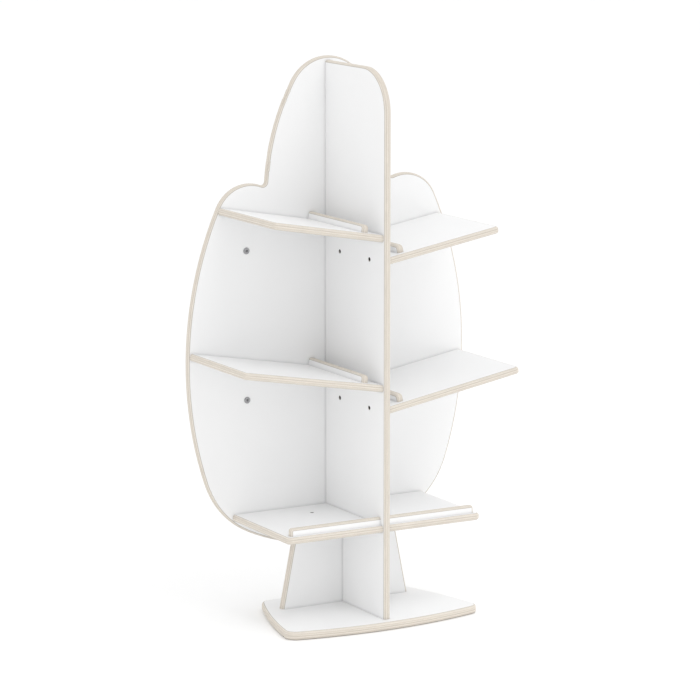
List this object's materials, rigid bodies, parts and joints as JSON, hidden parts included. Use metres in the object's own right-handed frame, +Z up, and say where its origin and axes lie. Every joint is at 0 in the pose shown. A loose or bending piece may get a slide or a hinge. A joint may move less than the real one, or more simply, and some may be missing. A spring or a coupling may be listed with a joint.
{
  "type": "tree-shaped children's bookcase",
  "caption": "Free-standing tree-shaped children's bookcase in white-faced plywood: sloping shelves with book stops either side of a centre divider, a lipped bottom shelf, and a splayed base.",
  "frame": {"origin": "on the floor, under the middle of the bookcase's overall box", "axes": "+X to the right as seen from the front, +Y to the back, away from the reader, +Z up"},
  "size_m": [0.6738, 0.289, 1.1829],
  "materials": {
    "white_faced_plywood": "satin white laminate faces, clear-sealed bare ply edges",
    "black_screw": "black zinc plate",
    "zinc_sleeve_nut": "dull zinc plate"
  },
  "bodies": {
    "root": {"base_plate": "white_faced_plywood", "centre_divider": "white_faced_plywood", "back_panel": "white_faced_plywood", "trunk_panel": "white_faced_plywood", "bottom_shelf": "white_faced_plywood", "upper_left_shelf": "white_faced_plywood", "upper_right_shelf": "white_faced_plywood", "middle_left_shelf": "white_faced_plywood", "middle_right_shelf": "white_faced_plywood", "upper_left_book_stop": "white_faced_plywood", "upper_right_book_stop": "white_faced_plywood", "middle_left_book_stop": "white_faced_plywood", "middle_right_book_stop": "white_faced_plywood", "front_lip_left": "white_faced_plywood", "front_lip_right": "white_faced_plywood", "base_screws": "black_screw", "trunk_screws": "black_screw", "left_shelf_screws": "black_screw", "right_shelf_screws": "black_screw", "divider_back_screws": "black_screw", "shelf_back_screws": "black_screw", "book_stop_screws": "black_screw", "front_lip_screws": "black_screw", "panel_sleeve_nuts": "zinc_sleeve_nut"}
  },
  "joints": []
}
